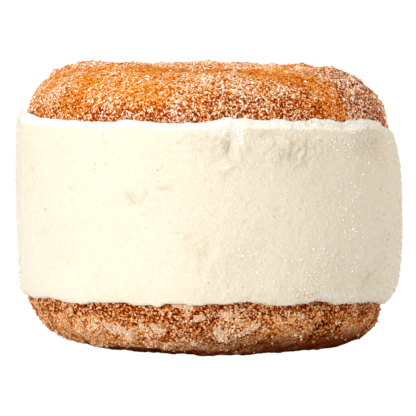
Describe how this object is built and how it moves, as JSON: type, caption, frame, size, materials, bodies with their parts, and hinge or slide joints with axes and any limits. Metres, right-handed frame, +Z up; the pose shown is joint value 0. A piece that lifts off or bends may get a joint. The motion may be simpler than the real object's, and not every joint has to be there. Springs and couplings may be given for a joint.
{
  "type": "ice cream sandwich",
  "caption": "Sugared ring doughnut sliced level, with a thick round of vanilla ice cream held between its halves.",
  "frame": {"origin": "under the middle of the sandwich, on the surface that it rests on", "axes": "+Z up, -Y towards the front, +X to the right seen from the front"},
  "size_m": [0.0849, 0.0851, 0.0631],
  "materials": {
    "sugared_crust": "fried golden crust under a coat of coarse cinnamon sugar",
    "ice_cream": "smooth frozen vanilla ice cream, softly translucent, with small pits and ice crystals",
    "brown_crust": "browner fried crust under a coat of coarse cinnamon sugar"
  },
  "bodies": {
    "root": {"doughnut_top": "sugared_crust", "ice_cream": "ice_cream", "doughnut_bottom": "brown_crust"}
  },
  "joints": []
}
